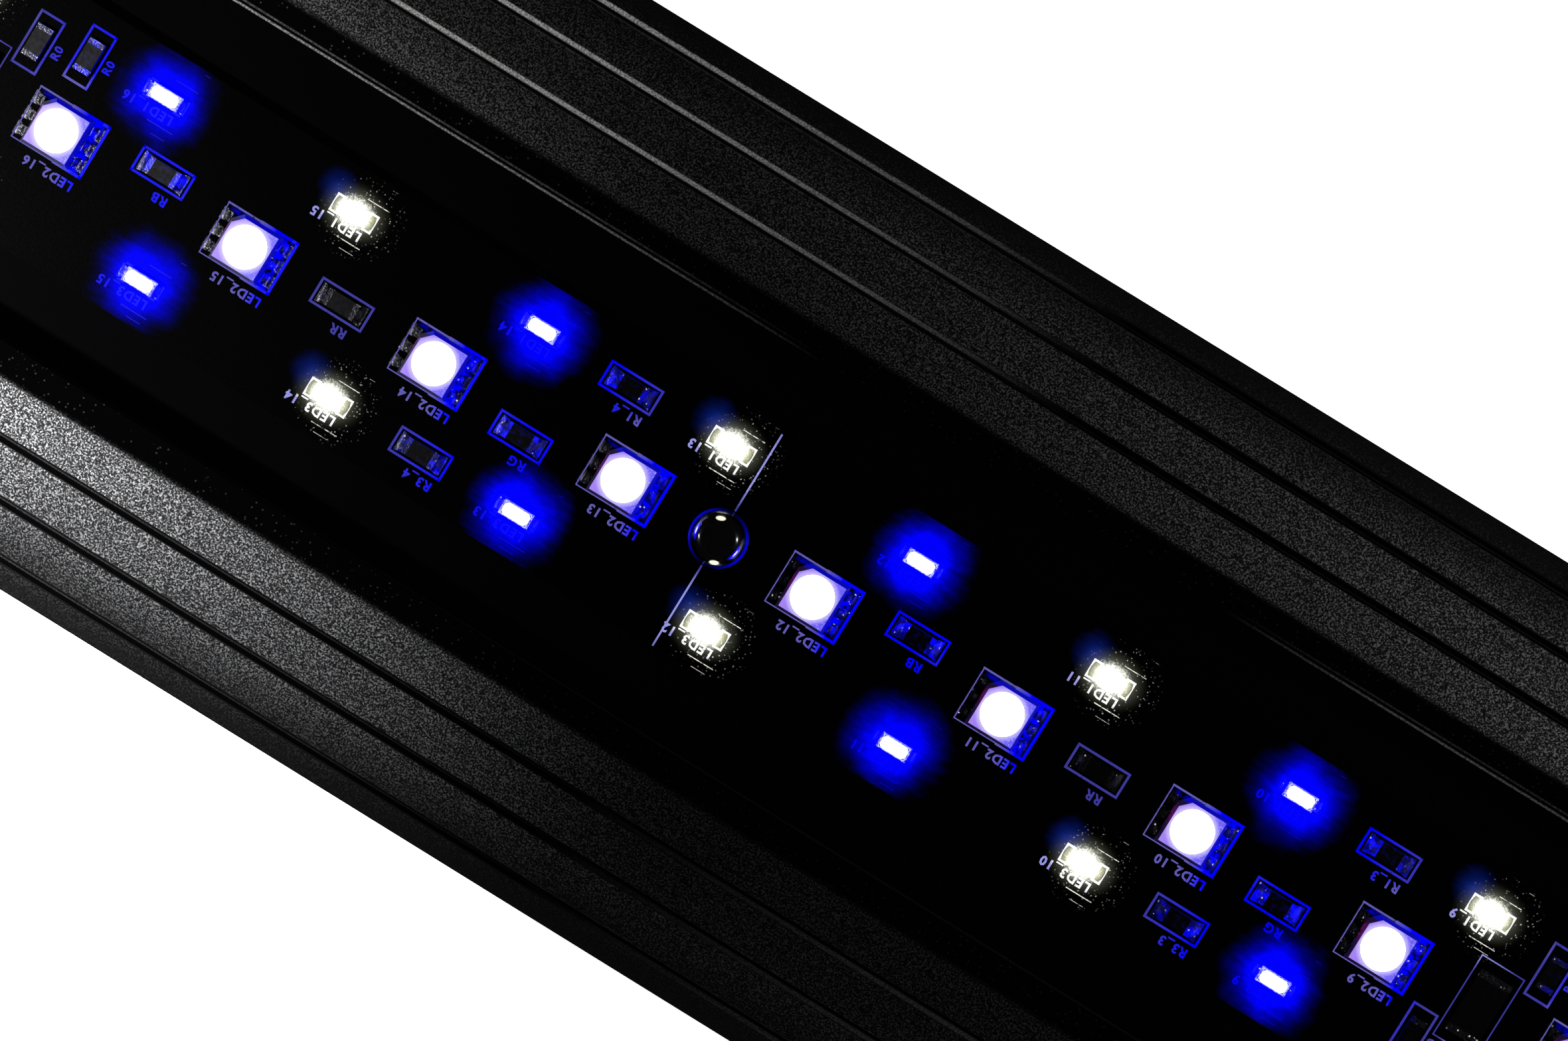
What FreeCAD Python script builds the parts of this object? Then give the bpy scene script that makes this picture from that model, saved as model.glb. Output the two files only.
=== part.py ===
"""LED aquarium light: a slim extruded fixture with a row of colour LEDs between two rows of
white and blue ones, end caps, and two sliding wire brackets that sit on the tank's rims.

+X runs along the light, +Y across it, and +Z points out of the lit side, so the light lies on
its back. The origin is the centre of the base. In use the light is turned over.
"""
import FreeCAD, Part
import math
import os
import Sketcher

Vector = FreeCAD.Vector
os.makedirs("parts", exist_ok=True)
doc = FreeCAD.newDocument("aquarium_light")
sheet = doc.addObject("Spreadsheet::Sheet", "dims")

# ---------------------------------------------------------------- driving dimensions, mm
CELLS = {
    # extruded housing
    "housing_length": 500.0,
    "edge_y": 38.1,            # half of the width
    "base_y": 31.0,            # half of the flat back
    "nose_z": 5.2,             # where the rounded lower edge ends
    "nose_radius": 9.0,
    "flank_radius": 40.0,      # convex flanks
    "flank_centre_y": 19.41,
    "flank_centre_z": -28.37,
    "peak_y": 21.1,            # highest line of each flank
    "lip_y": 18.4,             # half of the opening over the board
    "lip_z": 10.7,
    "floor_z": 4.4,            # floor that the board lies on
    "slot_y": 19.9,            # slots that hold the clear cover
    "slot_low_z": 8.0,
    "slot_high_z": 9.8,
    "groove_one_y": 25.8,
    "groove_two_y": 30.8,
    "groove_three_y": 35.5,
    "groove_depth": 0.5,
    "groove_in": 0.2,          # from a groove's middle line to the inner edge of its floor
    "groove_floor": 0.15,
    "groove_in_slope": 0.2,    # run of the steep inner wall and of the outer wall
    "groove_out_slope": 0.5,
    "fin_slot_width": 2.6,
    "fin_slot_depth": 2.4,
    "fin_slot_first_y": 4.3,
    "fin_pitch": 3.8,
    "chamber_in_y": 24.0,      # closed chambers that the bracket arms slide in
    "chamber_out_y": 33.0,
    "chamber_low_z": 2.0,
    "chamber_high_z": 7.8,
    "port_y": 21.2,            # ports for the cap screws
    "port_z": 4.9,
    "port_radius": 1.25,
    # cover, seals and thermal pad
    "cover_length": 499.6,
    "cover_width": 39.4,
    "cover_thick": 1.4,
    "seal_thick": 0.3,
    "seal_width": 1.3,
    "pad_length": 478.0,
    "pad_width": 22.0,
    "pad_thick": 0.3,
    # circuit board
    "board_length": 480.0,
    "board_width": 23.2,
    "board_thick": 1.6,
    "board_hole_radius": 1.7,
    "screw_pitch": 160.0,
    "screw_radius": 1.5,
    "screw_depth": 3.2,        # below the housing floor
    "screw_head_radius": 2.75,
    "screw_head_rise": 1.55,
    # LEDs and chips
    "led_pitch": 20.0,
    "side_shift": 6.667,
    "side_row_y": 7.7,
    "colour_led_size": 5.0,
    "colour_led_top": 4.4,     # the package tapers towards its top
    "colour_led_rise": 1.5,
    "colour_window_radius": 2.0,
    "window_depth": 0.5,
    "side_led_long": 3.0,
    "side_led_wide": 1.4,
    "side_led_rise": 0.8,
    # caps and gaskets
    "gasket_thick": 0.8,
    "cap_length": 12.0,
    "cavity_y": 16.0,
    "cavity_low_z": 2.2,
    "cavity_high_z": 9.0,
    "cavity_depth": 9.0,
    "gasket_low_z": 4.8,
    "gasket_high_z": 7.9,
    "cap_hole_radius": 1.6,
    "cap_head_radius": 2.5,
    "cap_head_rise": 1.5,
    "cap_sink_radius": 2.8,
    "cap_sink_depth": 1.8,
    "cap_screw_reach": 9.0,    # into the housing's port
    # sliding brackets
    "rod_radius": 2.0,
    "rod_y": 28.5,
    "rod_z": 4.9,
    "rod_inner_x": 164.0,
    "crossbar_x": 297.0,
    "crossbar_z": 27.5,
    "bend_radius": 8.0,
    "bush_radius": 3.5,
    "bush_clear": 0.05,
    "block_length": 12.0,
    "block_width": 8.5,
    "block_height": 5.3,
    "foot_length": 36.0,
    "foot_radius": 3.6,
    "foot_flat": 3.0,          # height of the flat above the crossbar's axis
    # power socket
    "socket_z": 5.3,
    "socket_radius": 3.9,
    "socket_back_x": 253.0,
    "socket_flange_radius": 4.7,
    "socket_flange_thick": 1.6,
    "socket_seal_thick": 0.5,
    "socket_bore_radius": 3.3,
    "socket_sleeve_wall": 0.3,
    "socket_wall": 1.5,
    "socket_pin_radius": 1.05,
    "tail_length": 3.5,
    "tail_y": 1.6,
    "wire_radius": 0.6,
    # fit between pieces that are pressed or screwed together
    "fit": 0.02,
}
for row, (alias, number) in enumerate(CELLS.items(), start=1):
    sheet.set("A%d" % row, alias)
    sheet.set("B%d" % row, repr(number))
    sheet.setAlias("B%d" % row, alias)
doc.recompute()

kept = []


def size(alias):
    """A driving dimension, as a plain number."""
    return float(getattr(sheet, alias))


def keep(feature, label):
    """Names a sub-part and puts it on the list of those that are written out."""
    feature.Label = label
    kept.append(feature)
    return feature


def flank_z(y):
    """Height of the convex flank at y, as an expression."""
    return "(dims.flank_centre_z + sqrt(dims.flank_radius^2 - (%s - dims.flank_centre_y)^2))" % y


# ---------------------------------------------------------------- sketches and features
def new_body(label):
    return keep(doc.addObject("PartDesign::Body", label), label)


def sketch_on(body, name, role, offset="0"):
    """An empty sketch on one of the body's own planes, moved along the plane's normal."""
    sketch = body.newObject("Sketcher::SketchObject", name)
    plane = [f for f in body.Origin.OriginFeatures if f.Role == role][0]
    sketch.AttachmentSupport = [(plane, "")]
    sketch.MapMode = "FlatFace"
    sketch.setExpression("AttachmentOffset.Base.z", offset)
    return sketch


def value(expression):
    """What an expression comes to now, used as a sketch's starting place."""
    return float(sheet.evalExpression(expression))


def draw_loop(sketch, corners, bends=None):
    """A closed outline through corners given as pairs of expressions.

    bends maps a corner's number to the radius of the arc that leads from it to the next one;
    an arc bulges away from the outline, which runs anticlockwise.
    """
    bends = bends or {}
    places = [Vector(value(a), value(b), 0) for a, b in corners]
    first = sketch.GeometryCount
    count = len(places)
    for index, place in enumerate(places):
        after = places[(index + 1) % count]
        if index in bends:
            radius = value(bends[index])
            chord = after - place
            middle = (place + after) * 0.5
            outward = Vector(chord.y, -chord.x, 0).normalize()
            bulge = radius - math.sqrt(radius ** 2 - (chord.Length / 2) ** 2)
            edge = Part.Arc(place, middle + outward * bulge, after)
        else:
            edge = Part.LineSegment(place, after)
        sketch.addGeometry(edge, False)
    for index, (a, b) in enumerate(corners):
        here = first + index
        start, end = 1, 2
        follows = first + (index + 1) % count
        sketch.addConstraint(Sketcher.Constraint("Coincident", here, end, follows, start))
        for kind, expression, number in (
                ("DistanceX", a, places[index].x), ("DistanceY", b, places[index].y)):
            place = sketch.addConstraint(
                Sketcher.Constraint(kind, -1, 1, here, start, number))
            sketch.setExpression("Constraints[%d]" % place, expression)
        if index in bends:
            place = sketch.addConstraint(
                Sketcher.Constraint("Radius", here, value(bends[index])))
            sketch.setExpression("Constraints[%d]" % place, bends[index])


def draw_box(sketch, low_a, high_a, low_b, high_b):
    draw_loop(sketch, [(low_a, low_b), (high_a, low_b), (high_a, high_b), (low_a, high_b)])


def draw_circle(sketch, a, b, radius):
    centre = Vector(value(a), value(b), 0)
    index = sketch.GeometryCount
    sketch.addGeometry(Part.Circle(centre, Vector(0, 0, 1), value(radius)), False)
    for kind, expression, number in (("DistanceX", a, centre.x), ("DistanceY", b, centre.y)):
        place = sketch.addConstraint(Sketcher.Constraint(kind, -1, 1, index, 3, number))
        sketch.setExpression("Constraints[%d]" % place, expression)
    place = sketch.addConstraint(Sketcher.Constraint("Radius", index, value(radius)))
    sketch.setExpression("Constraints[%d]" % place, radius)


def pad(body, sketch, length):
    feature = body.newObject("PartDesign::Pad", sketch.Name + "_pad")
    feature.Profile = sketch
    feature.setExpression("Length", length)
    sketch.Visibility = False
    doc.recompute()
    return feature


def pocket(body, sketch, depth, towards_normal=False):
    """Cuts against the sketch's normal, or along it, and makes sure that something was cut."""
    doc.recompute()
    before = body.Shape.Volume
    feature = body.newObject("PartDesign::Pocket", sketch.Name + "_pocket")
    feature.Profile = sketch
    feature.Reversed = towards_normal
    feature.setExpression("Length", depth)
    doc.recompute()
    if body.Shape.Volume > before - 1e-6:
        raise RuntimeError("%s cuts nothing" % feature.Name)
    return feature


def revolve(body, sketch):
    """Turns the sketch a full turn about its own horizontal axis."""
    feature = body.newObject("PartDesign::Revolution", sketch.Name + "_turn")
    feature.Profile = sketch
    feature.ReferenceAxis = (sketch, ["H_Axis"])
    feature.Angle = 360.0
    doc.recompute()
    return feature


def half_turn(feature):
    """Puts a piece made for the right-hand end at the left-hand end."""
    feature.Placement = FreeCAD.Placement(Vector(0, 0, 0), FreeCAD.Rotation(Vector(0, 0, 1), 180))


def copies(label, shapes):
    """One sub-part that holds several like solids."""
    feature = doc.addObject("Part::Feature", label)
    feature.Shape = Part.makeCompound(shapes)
    feature.Placement = FreeCAD.Placement()
    return keep(feature, label)


def block(centre_x, centre_y, low_z, length, width, height):
    """A box given by the centre of its base."""
    corner = Vector(centre_x - length / 2, centre_y - width / 2, low_z)
    return Part.makeBox(length, width, height, corner)


# ---------------------------------------------------------------- outlines shared by several pieces
END_X = "dims.housing_length / 2"
CAP_X = "(dims.housing_length / 2 + dims.gasket_thick)"
CAP_END_X = "(dims.housing_length / 2 + dims.gasket_thick + dims.cap_length)"
NEGATIVE = "-(%s)"


def draw_section(sketch):
    """The fixture's outer section: flat back, round lower edges, convex flanks, sunken centre."""
    peak_z = flank_z("dims.peak_y")
    edge_z = flank_z("dims.edge_y")
    right = [
        ("dims.base_y", "0"),
        ("dims.edge_y", "dims.nose_z"),
        ("dims.edge_y", edge_z),
        ("dims.peak_y", peak_z),
        ("dims.lip_y", "dims.lip_z"),
    ]
    left = [(NEGATIVE % y, z) for y, z in reversed(right)]
    bends = {0: "dims.nose_radius", 2: "dims.flank_radius",
             6: "dims.flank_radius", 8: "dims.nose_radius"}
    draw_loop(sketch, right + left, bends)


def make_housing():
    body = new_body("housing")
    start = NEGATIVE % END_X
    section = sketch_on(body, "housing_section", "YZ_Plane", start)
    draw_section(section)
    pad(body, section, "dims.housing_length")

    recess = sketch_on(body, "housing_recess", "YZ_Plane", END_X)
    draw_box(recess, "-dims.lip_y", "dims.lip_y", "dims.floor_z", "dims.lip_z + 2")
    pocket(body, recess, "dims.housing_length")

    slots = sketch_on(body, "housing_cover_slots", "YZ_Plane", END_X)
    draw_box(slots, "-dims.slot_y", "dims.slot_y", "dims.slot_low_z", "dims.slot_high_z")
    pocket(body, slots, "dims.housing_length")

    chambers = sketch_on(body, "housing_chambers", "YZ_Plane", END_X)
    draw_box(chambers, "dims.chamber_in_y", "dims.chamber_out_y",
             "dims.chamber_low_z", "dims.chamber_high_z")
    draw_box(chambers, "-dims.chamber_out_y", "-dims.chamber_in_y",
             "dims.chamber_low_z", "dims.chamber_high_z")
    pocket(body, chambers, "dims.housing_length")

    ports = sketch_on(body, "housing_ports", "YZ_Plane", END_X)
    draw_circle(ports, "dims.port_y", "dims.port_z", "dims.port_radius")
    draw_circle(ports, "-dims.port_y", "dims.port_z", "dims.port_radius")
    pocket(body, ports, "dims.housing_length")

    fins = sketch_on(body, "housing_fin_slots", "YZ_Plane", END_X)
    for number in range(5):
        middle = "(dims.fin_slot_first_y + %d * dims.fin_pitch)" % number
        for sign in ("", "-"):
            draw_box(fins, "%s%s - dims.fin_slot_width / 2" % (sign, middle),
                     "%s%s + dims.fin_slot_width / 2" % (sign, middle),
                     "-1", "dims.fin_slot_depth")
    pocket(body, fins, "dims.housing_length")

    grooves = sketch_on(body, "housing_grooves", "YZ_Plane", END_X)
    for name in ("dims.groove_one_y", "dims.groove_two_y", "dims.groove_three_y"):
        low = "%s - dims.groove_depth" % flank_z(name)
        high = "%s + dims.groove_depth" % flank_z(name)
        floor_in = name + " - dims.groove_in"
        floor_out = floor_in + " + dims.groove_floor"
        for sign in ("", "-"):
            draw_loop(grooves, [
                ("%s(%s)" % (sign, floor_in), low),
                ("%s(%s)" % (sign, floor_out), low),
                ("%s(%s + 2 * dims.groove_out_slope)" % (sign, floor_out), high),
                ("%s(%s - 2 * dims.groove_in_slope)" % (sign, floor_in), high),
            ])
    pocket(body, grooves, "dims.housing_length")

    taps = sketch_on(body, "housing_screw_holes", "XY_Plane", "dims.floor_z")
    for number in (-1, 0, 1):
        draw_circle(taps, "%d * dims.screw_pitch" % number, "0", "dims.screw_radius + dims.fit")
    pocket(body, taps, "dims.screw_depth + 0.2")
    return body


def make_box_piece(label, length, width, thick, low_z, across="0"):
    """A plain rectangular piece centred on the light's length."""
    piece = doc.addObject("Part::Box", label)
    piece.setExpression("Length", length)
    piece.setExpression("Width", width)
    piece.setExpression("Height", thick)
    piece.setExpression("Placement.Base.x", "-(%s) / 2" % length)
    piece.setExpression("Placement.Base.y", "%s - (%s) / 2" % (across, width))
    piece.setExpression("Placement.Base.z", low_z)
    return piece


def make_cover():
    cover = make_box_piece("cover_lens", "dims.cover_length", "dims.cover_width",
                           "dims.cover_thick", "dims.slot_low_z + dims.seal_thick")
    keep(cover, "cover_lens")
    seals = doc.addObject("Part::Compound", "cover_seals")
    strips = []
    for name, sign in (("front", "-"), ("rear", "")):
        across = "%s(dims.cover_width / 2 - dims.seal_width / 2)" % sign
        strips.append(make_box_piece("seal_" + name, "dims.cover_length", "dims.seal_width",
                                     "dims.seal_thick", "dims.slot_low_z", across))
    seals.Links = strips
    keep(seals, "cover_seals")


def make_sheet_with_holes(label, length, width, thick, low_z):
    """The thermal pad or the board: a sheet with the three screw holes."""
    body = new_body(label)
    sheet_outline = sketch_on(body, label + "_outline", "XY_Plane", low_z)
    draw_box(sheet_outline, "-%s / 2" % length, "%s / 2" % length,
             "-%s / 2" % width, "%s / 2" % width)
    pad(body, sheet_outline, thick)
    holes = sketch_on(body, label + "_holes", "XY_Plane", "%s + %s" % (low_z, thick))
    for number in (-1, 0, 1):
        draw_circle(holes, "%d * dims.screw_pitch" % number, "0", "dims.board_hole_radius")
    pocket(body, holes, thick)
    return body


BOARD_LOW = "dims.floor_z + dims.pad_thick"
BOARD_TOP = value(BOARD_LOW + " + dims.board_thick")


def screw_shape(head_radius, head_rise, shank_radius, shank_length, recess_reach):
    """A pan-head screw that points down -Z with the underside of its head at the origin."""
    edge_rise = head_rise * 0.2
    crown = head_radius * 0.35
    head = Part.Wire([
        Part.LineSegment(Vector(0, 0, 0), Vector(head_radius, 0, 0)).toShape(),
        Part.LineSegment(Vector(head_radius, 0, 0), Vector(head_radius, 0, edge_rise)).toShape(),
        Part.Arc(Vector(head_radius, 0, edge_rise),
                 Vector(head_radius * 0.82, 0, head_rise * 0.76),
                 Vector(crown, 0, head_rise)).toShape(),
        Part.LineSegment(Vector(crown, 0, head_rise), Vector(0, 0, head_rise)).toShape(),
        Part.LineSegment(Vector(0, 0, head_rise), Vector(0, 0, 0)).toShape(),
    ])
    solid = Part.Face(head).revolve(Vector(0, 0, 0), Vector(0, 0, 1), 360)
    tip = shank_radius * 0.6
    solid = solid.fuse(Part.makeCylinder(shank_radius, shank_length - tip,
                                         Vector(0, 0, -(shank_length - tip))))
    solid = solid.fuse(Part.makeCone(shank_radius * 0.5, shank_radius, tip,
                                     Vector(0, 0, -shank_length)))
    recess_width = recess_reach * 0.24
    recess_depth = head_rise * 0.6
    for length, width in ((recess_reach, recess_width), (recess_width, recess_reach)):
        solid = solid.cut(block(0, 0, head_rise - recess_depth, length, width, recess_depth + 1))
    return solid.removeSplitter()


def make_board_screws():
    shank = value("dims.board_thick + dims.pad_thick + dims.screw_depth")
    one = screw_shape(size("screw_head_radius"), size("screw_head_rise"),
                      size("screw_radius"), shank, 2.9)
    shapes = []
    for number in (-1, 0, 1):
        shapes.append(one.translated(Vector(number * size("screw_pitch"), 0, BOARD_TOP)))
    copies("board_screws", shapes)


# ---------------------------------------------------------------- LEDs and chips on the board
LED_COUNT = 24


def led_x(number):
    """Place along the board of the middle row's LED, counted from the right-hand end."""
    return (LED_COUNT / 2 + 0.5 - number) * size("led_pitch")


def notched_square(half, notch, height):
    """A square outline with one corner cut off, which marks the package's first lead."""
    return Part.makePolygon([
        Vector(-half, -half, height),
        Vector(half, -half, height),
        Vector(half, half, height),
        Vector(-half + notch, half, height),
        Vector(-half, half - notch, height),
        Vector(-half, -half, height),
    ])


def make_colour_leds():
    side = size("colour_led_size")
    rise = size("colour_led_rise")
    radius = size("colour_window_radius")
    depth = size("window_depth")
    notch = 0.9
    ledge = 0.7
    foot = notched_square(side / 2, notch, 0)
    package = Part.Face(foot).extrude(Vector(0, 0, ledge))
    upper = Part.makeLoft([notched_square(side / 2, notch, ledge),
                           notched_square(size("colour_led_top") / 2, notch, rise)], True)
    package = package.fuse(upper).removeSplitter()
    package = package.cut(Part.makeCylinder(radius, depth, Vector(0, 0, rise - depth)))
    window = Part.makeCylinder(radius, depth - 0.05, Vector(0, 0, rise - depth))
    foot_length, foot_width, foot_thick, riser = 0.75, 0.9, 0.2, 0.8
    leads = []
    for end in (-1, 1):
        for row in (-1.6, 0, 1.6):
            foot = block(end * (side / 2 + foot_length / 2), row, 0,
                         foot_length, foot_width, foot_thick)
            upright = block(end * (side / 2 + foot_thick / 2), row, 0,
                            foot_thick, foot_width, riser)
            leads.append(foot.fuse(upright).removeSplitter())
    places = [Vector(led_x(n), 0, BOARD_TOP) for n in range(1, LED_COUNT + 1)]
    copies("colour_led_packages", [package.translated(p) for p in places])
    copies("colour_led_windows", [window.translated(p) for p in places])
    copies("colour_led_leads", [lead.translated(p) for p in places for lead in leads])


def make_side_leds():
    length = size("side_led_long")
    width = size("side_led_wide")
    rise = size("side_led_rise")
    wall = 0.11
    end_wall = 0.2
    depth = 0.35
    pool = block(0, 0, rise - depth, length - 2 * end_wall, width - 2 * wall, depth)
    package = block(0, 0, 0, length, width, rise).cut(pool)
    window = block(0, 0, rise - depth, length - 2 * end_wall, width - 2 * wall, depth - 0.03)
    tab = 0.35
    tabs = [block(end * (length + tab) / 2, 0, 0, tab, width * 0.75, 0.25) for end in (-1, 1)]
    white, blue = [], []
    for number in range(1, LED_COUNT + 1):
        upper = Vector(led_x(number) + size("side_shift"), size("side_row_y"), BOARD_TOP)
        lower = Vector(led_x(number) - size("side_shift"), -size("side_row_y"), BOARD_TOP)
        odd = number % 2 == 1
        white.append(upper if odd else lower)
        blue.append(lower if odd else upper)
    for name, places in (("white", white), ("blue", blue)):
        copies(name + "_led_packages", [package.translated(p) for p in places])
        copies(name + "_led_windows", [window.translated(p) for p in places])
    copies("side_led_tabs", [t.translated(p) for p in white + blue for t in tabs])


def chip(length, width, rise, end, upright):
    """A chip resistor's body and its two metal ends, along X or turned upright along Y."""
    body = block(0, 0, 0.05, length - 2 * end, width, rise - 0.05)
    ends = [block(side * (length - end) / 2, 0, 0, end, width, rise + 0.03) for side in (-1, 1)]
    if upright:
        for shape in [body] + ends:
            shape.rotate(Vector(0, 0, 0), Vector(0, 0, 1), 90)
    return body, ends


SMALL_CHIP = (3.2, 1.6, 0.6, 0.5)      # length, width, rise and length of one metal end
LARGE_CHIP = (6.3, 3.2, 0.65, 0.7)
GROUP_PITCH = 80.0                     # four LEDs share one group of resistors
GROUP_CHIPS = ((-20.0, 1.75), (0.0, 0.1), (20.0, -1.6), (26.2, 7.4), (13.1, -7.6))
BORDERS = (-80.0, 80.0)                # where one stretch of the board's circuit ends
BORDER_CHIPS = ((4.2, 5.9), (8.9, 7.2), (-3.7, -5.3))
JUMPER_SHIFT = 0.2


def make_chips():
    """Resistors along the board in groups, upright ones at the borders, and the wide jumpers."""
    along = chip(*SMALL_CHIP, False)
    upright = chip(*SMALL_CHIP, True)
    places = []
    for group in range(6):
        centre = (group - 2.5) * GROUP_PITCH
        places.extend((along, centre + x, y) for x, y in GROUP_CHIPS)
    for border in BORDERS:
        places.extend((upright, border + x, y) for x, y in BORDER_CHIPS)
    bodies, ends = [], []
    for (body, tips), x, y in places:
        here = Vector(x, y, BOARD_TOP)
        bodies.append(body.translated(here))
        ends.extend(tip.translated(here) for tip in tips)
    copies("resistor_bodies", bodies)
    copies("resistor_ends", ends)
    body, tips = chip(*LARGE_CHIP, True)
    spots = [Vector(border + JUMPER_SHIFT, 0, BOARD_TOP) for border in BORDERS]
    copies("jumper_bodies", [body.translated(p) for p in spots])
    copies("jumper_ends", [tip.translated(p) for p in spots for tip in tips])


# ---------------------------------------------------------------- caps, gaskets and their screws
def make_cap(label, with_socket):
    body = new_body(label)
    section = sketch_on(body, label + "_section", "YZ_Plane", CAP_X)
    draw_section(section)
    pad(body, section, "dims.cap_length")

    cavity = sketch_on(body, label + "_cavity", "YZ_Plane", CAP_X)
    draw_box(cavity, "-dims.cavity_y", "dims.cavity_y", "dims.cavity_low_z", "dims.cavity_high_z")
    pocket(body, cavity, "dims.cavity_depth", towards_normal=True)

    bores = sketch_on(body, label + "_bores", "YZ_Plane", CAP_END_X)
    sinks = sketch_on(body, label + "_sinks", "YZ_Plane", CAP_END_X)
    for sign in ("", "-"):
        draw_circle(bores, sign + "dims.rod_y", "dims.rod_z", "dims.bush_radius + dims.fit")
        draw_circle(bores, sign + "dims.port_y", "dims.port_z", "dims.cap_hole_radius")
        draw_circle(sinks, sign + "dims.port_y", "dims.port_z", "dims.cap_sink_radius")
    if with_socket:
        draw_circle(bores, "0", "dims.socket_z", "dims.socket_radius + dims.fit")
    pocket(body, bores, "dims.cap_length")
    pocket(body, sinks, "dims.cap_sink_depth")
    return body


def make_gasket(label):
    body = new_body(label)
    section = sketch_on(body, label + "_section", "YZ_Plane", END_X)
    draw_section(section)
    pad(body, section, "dims.gasket_thick")
    opening = sketch_on(body, label + "_opening", "YZ_Plane", CAP_X)
    draw_box(opening, "-dims.cavity_y", "dims.cavity_y", "dims.gasket_low_z", "dims.gasket_high_z")
    for sign in ("", "-"):
        draw_circle(opening, sign + "dims.rod_y", "dims.rod_z", "dims.rod_radius + 0.6")
        draw_circle(opening, sign + "dims.port_y", "dims.port_z", "dims.cap_hole_radius")
    pocket(body, opening, "dims.gasket_thick")
    return body


def make_cap_screws(label):
    seat_x = value(CAP_END_X + " - dims.cap_sink_depth")
    reach = seat_x - value(END_X) + size("cap_screw_reach")
    one = screw_shape(size("cap_head_radius"), size("cap_head_rise"),
                      size("port_radius") - size("fit"), reach, 2.7)
    one.rotate(Vector(0, 0, 0), Vector(0, 1, 0), 90)
    shapes = []
    for side in (-1, 1):
        shapes.append(one.translated(Vector(seat_x, side * size("port_y"), size("port_z"))))
    return copies(label, shapes)


# ---------------------------------------------------------------- sliding brackets
def tube_piece(name, outer, inner, length, start_x, across):
    """A tube along X at the height of the bracket arms."""
    parts = []
    for kind, radius in (("outside", outer), ("bore", inner)):
        cylinder = doc.addObject("Part::Cylinder", name + "_" + kind)
        cylinder.setExpression("Radius", radius)
        cylinder.setExpression("Height", length)
        cylinder.Placement.Rotation = FreeCAD.Rotation(Vector(0, 1, 0), 90)
        cylinder.setExpression("Placement.Base.x", start_x)
        cylinder.setExpression("Placement.Base.y", across)
        cylinder.setExpression("Placement.Base.z", "dims.rod_z")
        parts.append(cylinder)
    cut = doc.addObject("Part::Cut", name)
    cut.Base, cut.Tool = parts
    return cut


def make_bushes(label):
    pair = doc.addObject("Part::Compound", label)
    pair.Links = [
        tube_piece("%s_%s" % (label, place), "dims.bush_radius",
                   "dims.rod_radius + dims.bush_clear", "dims.cap_length", CAP_X,
                   sign + "dims.rod_y")
        for place, sign in (("rear", ""), ("front", "-"))
    ]
    return keep(pair, label)


def rounded_path(points, radius):
    """Straight runs joined by arcs that touch them."""
    edges = []
    start = points[0]
    for corner, after in zip(points[1:-1], points[2:]):
        come = (corner - start).normalize()
        leave = (after - corner).normalize()
        turn = come.getAngle(leave)
        setback = radius * math.tan(turn / 2)
        arc_start = corner - come * setback
        arc_end = corner + leave * setback
        inward = (leave - come).normalize()
        arc_middle = corner + inward * (radius / math.cos(turn / 2) - radius)
        edges.append(Part.LineSegment(start, arc_start).toShape())
        edges.append(Part.Arc(arc_start, arc_middle, arc_end).toShape())
        start = arc_end
    edges.append(Part.LineSegment(start, points[-1]).toShape())
    return Part.Wire(edges)


def swept_piece(label, points, bend, radius):
    """A round wire along a path, checked against its section times its length."""
    path = doc.addObject("Part::Feature", label + "_path")
    path.Shape = rounded_path(points, bend)
    ring = doc.addObject("Part::Circle", label + "_ring")
    ring.Radius = radius
    start = (points[1] - points[0]).normalize()
    ring.Placement = FreeCAD.Placement(points[0], FreeCAD.Rotation(Vector(0, 0, 1), start))
    sweep = doc.addObject("Part::Sweep", label)
    sweep.Sections = [ring]
    sweep.Spine = (path, [])
    sweep.Solid = True
    sweep.Frenet = False
    doc.recompute()
    expected = math.pi * radius ** 2 * path.Shape.Length
    if abs(sweep.Shape.Volume - expected) > 0.01 * expected:
        raise RuntimeError("%s has the wrong volume" % label)
    return keep(sweep, label)


def make_bracket(label):
    across = size("rod_y")
    low = size("rod_z")
    high = size("crossbar_z")
    far = size("crossbar_x")
    near = size("rod_inner_x")
    points = [
        Vector(near, across, low),
        Vector(far, across, low),
        Vector(far, across, high),
        Vector(far, -across, high),
        Vector(far, -across, low),
        Vector(near, -across, low),
    ]
    return swept_piece(label, points, size("bend_radius"), size("rod_radius"))


def make_slider_blocks(label):
    """Blocks on the arms' inner ends; the gap before them is the brackets' travel."""
    length = size("block_length")
    overlap = length - 1.5
    shapes = []
    for side in (-1, 1):
        body = block(size("rod_inner_x") + overlap - length / 2, side * size("rod_y"),
                     size("rod_z") - size("block_height") / 2,
                     length, size("block_width"), size("block_height"))
        body = body.makeChamfer(0.6, body.Edges)
        bore = Part.makeCylinder(size("rod_radius") + size("fit"), overlap + 1,
                                 Vector(size("rod_inner_x"), side * size("rod_y"), size("rod_z")),
                                 Vector(1, 0, 0))
        shapes.append(body.cut(bore))
    return copies(label, shapes)


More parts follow.
